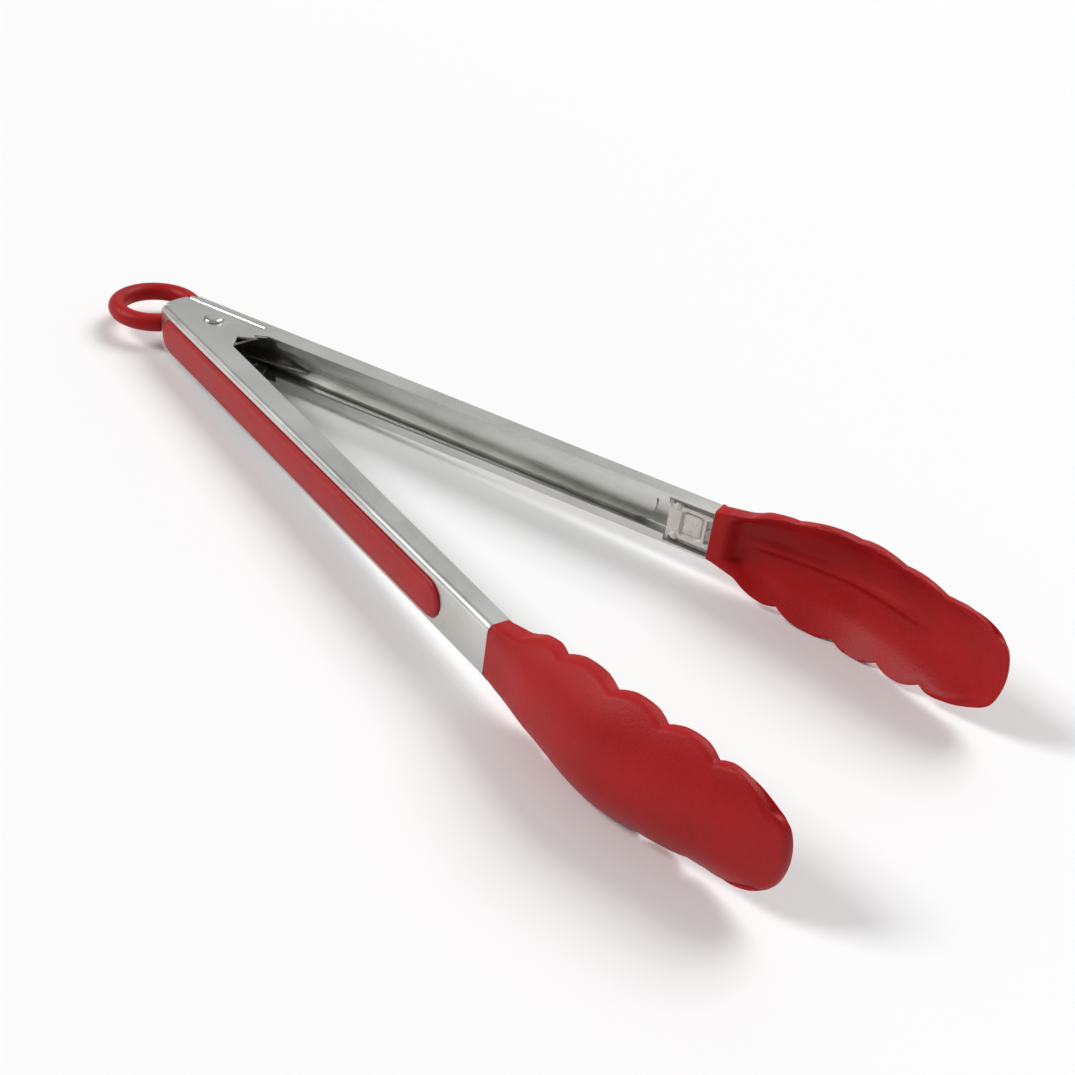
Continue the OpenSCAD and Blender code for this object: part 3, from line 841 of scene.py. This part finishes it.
def head_shell(name):
    """A grid with every vertex moved to where the rule puts it, extruded to the inner face."""
    stations, shares = rows_along(), columns_across()
    bpy.ops.object.select_all(action="DESELECT")
    bpy.ops.mesh.primitive_grid_add(x_subdivisions=len(stations) - 1,
                                    y_subdivisions=len(shares) - 1, size=2)
    obj = added(name)
    for vertex in obj.data.vertices:
        row = round((vertex.co.x + 1) / 2 * (len(stations) - 1))
        column = round((vertex.co.y + 1) / 2 * (len(shares) - 1))
        x, z = plan_point(stations[row], shares[column])
        drop = rounding(to_rim(x, z), RIM_OUTER) if x > 1 else 0.0
        vertex.co = (METAL_END + x * MM, WEB_OUT - (outer_face(x, z) + drop) * MM, z * MM)
    edit(obj, "FACE")
    bpy.ops.mesh.select_all(action="SELECT")
    bpy.ops.mesh.extrude_region_move()
    leave()
    for vertex in obj.data.vertices:
        if vertex.select:
            x, z = (vertex.co.x - METAL_END) / MM, vertex.co.z / MM
            distance = to_rim(x, z)
            depth = outer_face(x, z) + wall(x, z) - rounding(distance, RIM_INNER)
            vertex.co.y = WEB_OUT - (depth + bead(x, distance)) * MM
    outward(obj)
    smooth_by_angle(obj, 55)
    print("head grid", len(stations), "by", len(shares))
    return obj


master = head_shell("head_master")
for which, side in SIDES.items():
    head = bpy.data.objects.new(which + "_head_shell_finished", master.data.copy())
    bpy.context.scene.collection.objects.link(head)
    put_on_arm(head, side)
    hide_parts(which + "_head_shell")
    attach(head, which + "_side")
    finish_piece(head, head_silicone)
bpy.data.objects.remove(master)

# %% [markdown]
# ## Pull ring
# The ring is moulded in one with a short neck that grips the yoke's tongue. A torus and a
# round neck are joined and remeshed into one skin, and smoothing rolls the corner
# between them into a fillet.

# %% The pull ring
RING_TUBE = 3.2 * MM
RING_MEAN = 13.5 * MM
NECK_R = 3.1 * MM
SKIN_CELL = 0.32 * MM
SKIN_SMOOTHING = 6


def pull_ring():
    low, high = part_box("pull_ring")
    bpy.ops.object.select_all(action="DESELECT")
    bpy.ops.mesh.primitive_torus_add(major_radius=RING_MEAN, minor_radius=RING_TUBE,
                                     major_segments=128, minor_segments=48)
    ring = added("pull_ring_finished")
    reach = high.x - RING_MEAN
    bpy.ops.object.select_all(action="DESELECT")
    bpy.ops.mesh.primitive_cylinder_add(vertices=64, radius=NECK_R, depth=reach,
                                        rotation=(0, math.pi / 2, 0),
                                        location=(RING_MEAN + reach / 2, 0, 0))
    neck = added("pull_ring_neck")
    only(ring)
    neck.select_set(True)
    bpy.ops.object.join()
    modify(ring, "REMESH", mode="VOXEL", voxel_size=SKIN_CELL, adaptivity=0.0)
    modify(ring, "SMOOTH", factor=0.5, iterations=SKIN_SMOOTHING)
    modify(ring, "DECIMATE", ratio=0.5)
    outward(ring)
    bpy.ops.object.shade_smooth()
    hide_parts("pull_ring")
    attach(ring, "lock")
    finish_piece(ring, ring_silicone)
    print("ring ends at", round(high.x / MM, 2), "mm, and starts at", round(low.x / MM, 2))


pull_ring()

# %% [markdown]
# ## Head inserts
# A stiff nylon insert snaps into the end of each channel and carries the silicone. What
# shows is its face between the folded lips: a flat tang with a recessed window,
# a nub that drops into each lip notch, grooves for the lips and a gate mark. The tang is a
# block with smaller blocks cut from it or joined to it. The blade inside the silicone is
# never seen, so it is left out here and is only in the CAD.

# %% The inserts
TANG_LONG = 14.9
TANG_BACK = METAL_END - TANG_LONG * MM
TANG_FACE = WEB_OUT - FLANGE_END + 0.5 * MM
TANG_DEEP = WEB_OUT - SHEET - 1.3 * MM
TANG_HALF = 7.2
# a block: from and to, in mm from the middle of the tang's rear edge, then its rounding
WINDOW = (4.2, -2, -4.5), (12.3, 1.2, 4.6), 1.5
RAISED_MIDDLE = (5.1, 0.5, -3.6), (11.4, 2, 3.7), 0.6
FRONT_SINK = (12.8, -1, -4.2), (14.6, 1.4, 4.2), 0.4
GROOVE_AT, GROOVE_HALF, GROOVE_ROUND = 6.4, 0.8, 0.75
NUB_R, NUB_AT = 1.6 * MM, (2.8, 0.9, 5.2)
GATE_R, GATE_AT = 0.55 * MM, (13.7, 1.2, 0.4)


def on_tang(along, out, across):
    """A place on the tang, in mm from the middle of its rear edge."""
    return Vector((TANG_BACK + along * MM, TANG_FACE + out * MM, across * MM))


def block(name, low, high, edge):
    """A box between two corners with its edges rounded."""
    bpy.ops.object.select_all(action="DESELECT")
    bpy.ops.mesh.primitive_cube_add(size=1, location=(low + high) / 2)
    bpy.context.active_object.scale = high - low
    obj = added(name)
    modify(obj, "BEVEL", width=edge * MM, segments=4, limit_method="ANGLE",
           angle_limit=math.radians(40))
    return obj


def ball(name, middle, radius, segments):
    bpy.ops.object.select_all(action="DESELECT")
    bpy.ops.mesh.primitive_uv_sphere_add(segments=segments, ring_count=segments // 2,
                                         radius=radius, location=middle)
    return added(name)


def carve(body, tool, operation="DIFFERENCE"):
    """Cuts the tool from the body, or joins it on, and removes the tool."""
    modify(body, "BOOLEAN", operation=operation, object=tool, solver="EXACT")
    bpy.data.objects.remove(tool)


def insert(which, side):
    deep = Vector((METAL_END, TANG_DEEP, TANG_HALF * MM))
    body = block(which + "_head_insert_finished", on_tang(0, 0, -TANG_HALF), deep, 0.5)
    steps = (("window", WINDOW, "DIFFERENCE"), ("raised_middle", RAISED_MIDDLE, "UNION"),
             ("front_sink", FRONT_SINK, "DIFFERENCE"))
    for name, (low, high, edge), operation in steps:
        carve(body, block(name, on_tang(*low), on_tang(*high), edge), operation)
    for end in (-1, 1):
        low = on_tang(1, -1, end * GROOVE_AT - GROOVE_HALF)
        high = on_tang(TANG_LONG + 1, 1.6, end * GROOVE_AT + GROOVE_HALF)
        carve(body, block("lip_groove", low, high, GROOVE_ROUND))
        along, out, across = NUB_AT
        carve(body, ball("nub", on_tang(along, out, end * across), NUB_R, 32), "UNION")
    carve(body, ball("gate_mark", on_tang(*GATE_AT), GATE_R, 24), "UNION")
    smooth_by_angle(body, 40)
    put_on_arm(body, side)
    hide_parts(which + "_head_insert")
    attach(body, which + "_side")
    finish_piece(body, insert_nylon)


for which, side in SIDES.items():
    insert(which, side)

# %% [markdown]
# ## Floor, light and camera
# The tongs lie on the tips of their heads and on the rivet, so the floor leans a little
# against the part's own level. Two wide suns give the soft shadows: the key comes from the
# hinge end on the outer arm's side, and the other from above the inner arm's side. A card of
# light beyond the hinge gives the long highlights on the bends, and a pale room fills in
# the rest.

# %% The floor
FLOOR_WHITE = (0.9, 0.9, 0.9)
FLOOR_SIZE = 30
FLOOR_MIDDLE = 0.16
FLOOR_GAP = 0.05 * MM


def lowest(names):
    """Lowest shown point of these pieces."""
    points = [v.co for name in names for v in bpy.data.objects[name].data.vertices]
    return min(points, key=lambda p: p.z).copy()


head_point = lowest(["outer_head_shell_finished"])
hinge_point = lowest(["pivot_rivet_finished"])
FLOOR_LEAN = math.atan2(head_point.z - hinge_point.z, head_point.x - hinge_point.x)
print("floor leans", round(math.degrees(FLOOR_LEAN), 2), "degrees")


def floor():
    bpy.ops.object.select_all(action="DESELECT")
    drop = math.tan(FLOOR_LEAN) * (FLOOR_MIDDLE - hinge_point.x)
    middle = Vector((FLOOR_MIDDLE, 0, hinge_point.z + drop - FLOOR_GAP))
    bpy.ops.mesh.primitive_plane_add(size=FLOOR_SIZE, location=middle,
                                     rotation=(0, -FLOOR_LEAN, 0))
    obj = added("floor")
    paper = Finish("floor_white", FLOOR_WHITE, 0.6)
    paper.set("Specular IOR Level", 0.2)
    obj.data.materials.append(paper.material)


floor()


# %% The lights
def soft_light(name, place, aim, size, power):
    """A near rectangle of light that faces the aim."""
    data = bpy.data.lights.new(name, "AREA")
    data.shape = "RECTANGLE"
    data.size, data.size_y = size
    data.energy = power
    obj = bpy.data.objects.new(name, data)
    bpy.context.scene.collection.objects.link(obj)
    obj.location = place
    obj.rotation_euler = (Vector(aim) - Vector(place)).to_track_quat("-Z", "Y").to_euler()


def sun(name, towards, angle, strength):
    """A far light, so the floor is lit evenly. A wide angle gives soft shadows."""
    data = bpy.data.lights.new(name, "SUN")
    data.angle = math.radians(angle)
    data.energy = strength
    obj = bpy.data.objects.new(name, data)
    bpy.context.scene.collection.objects.link(obj)
    obj.rotation_euler = Vector(towards).to_track_quat("Z", "Y").to_euler()


sun("key", towards=(-0.53, -0.51, 0.64), angle=18, strength=1.7)
sun("back", towards=(0.05, 0.6, 0.8), angle=34, strength=1.6)
soft_light("card", place=(-0.85, 1.1, 0.85), aim=(0.1, 0, 0), size=(1.5, 1.5), power=1.9)

ROOM_LIGHT = 0.31
world = bpy.data.worlds.new("pale_room")
bpy.context.scene.world = world
world.use_nodes = True
world.node_tree.nodes["Background"].inputs["Color"].default_value = (1, 1, 1, 1)
world.node_tree.nodes["Background"].inputs["Strength"].default_value = ROOM_LIGHT

# %% The camera
CAMERA_PLACE = (0.4178, -0.2823, 0.2297)
CAMERA_VIEW = (-0.5294, 0.6587, -0.5346)
CAMERA_UP = (-0.4414, 0.3243, 0.8367)

camera_data = bpy.data.cameras.new("camera")
camera_data.sensor_width = 36
camera_data.lens = 48.92
camera_data.clip_start = 0.01
camera = bpy.data.objects.new("camera", camera_data)
bpy.context.scene.collection.objects.link(camera)
camera_view = Vector(CAMERA_VIEW).normalized()
camera_right = camera_view.cross(Vector(CAMERA_UP)).normalized()
camera_up = camera_right.cross(camera_view)
camera.matrix_world = Matrix.Translation(CAMERA_PLACE) @ Matrix(
    (camera_right, camera_up, -camera_view)).transposed().to_4x4()
bpy.context.scene.camera = camera
bpy.context.scene.view_settings.view_transform = "Standard"
